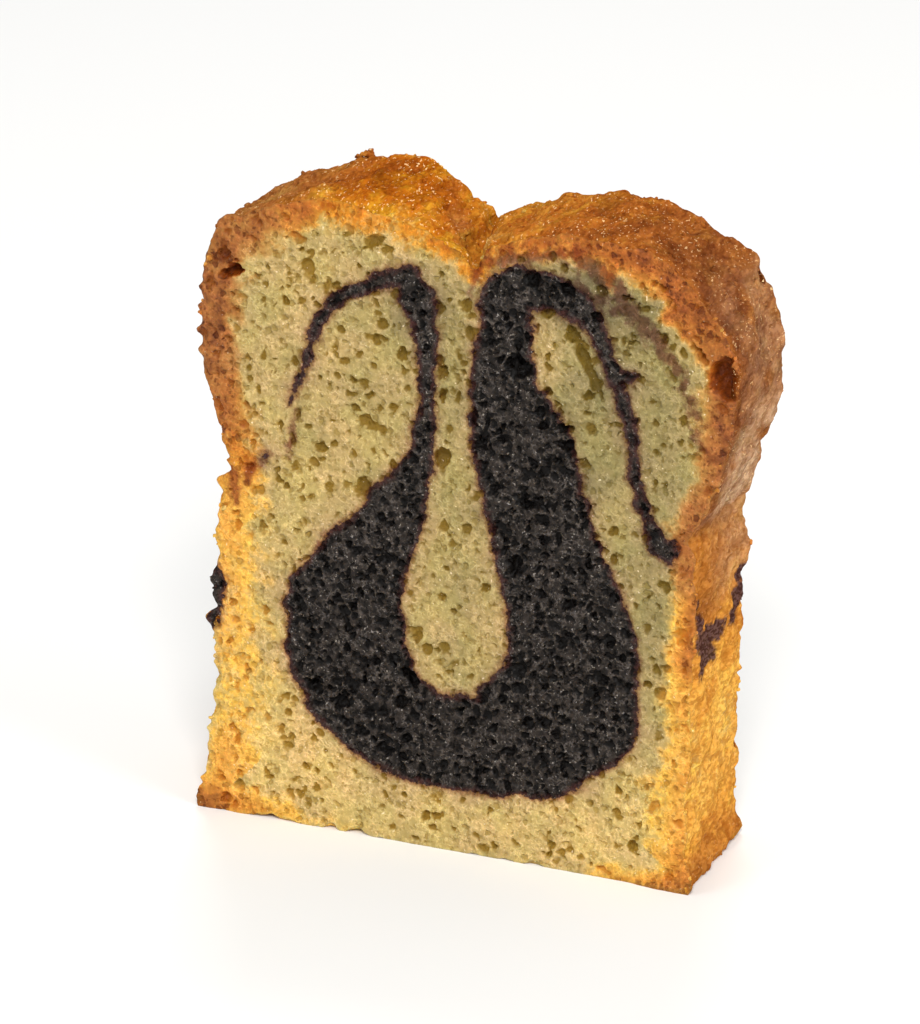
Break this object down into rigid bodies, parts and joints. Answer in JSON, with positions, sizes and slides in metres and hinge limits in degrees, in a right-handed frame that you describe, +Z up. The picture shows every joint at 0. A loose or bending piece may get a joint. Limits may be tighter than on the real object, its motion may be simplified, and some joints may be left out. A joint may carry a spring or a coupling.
{
  "type": "marble loaf cake slice",
  "caption": "Thick upright slice of marble loaf cake with a split, two-lobed top that overhangs the straight walls, and a flat foot to stand on.",
  "frame": {"origin": "middle of the slice's outer box, on the plane of the flat foot", "axes": "+Z up, +X across the loaf towards the lobe with the thin cocoa branch, +Y along the loaf; the cut faces look along -Y and +Y"},
  "size_m": [0.087, 0.024, 0.1027],
  "materials": {
    "baked_cake": "matte open crumb with a browned crust"
  },
  "bodies": {
    "root": {"cake_slice": "baked_cake"}
  },
  "joints": []
}
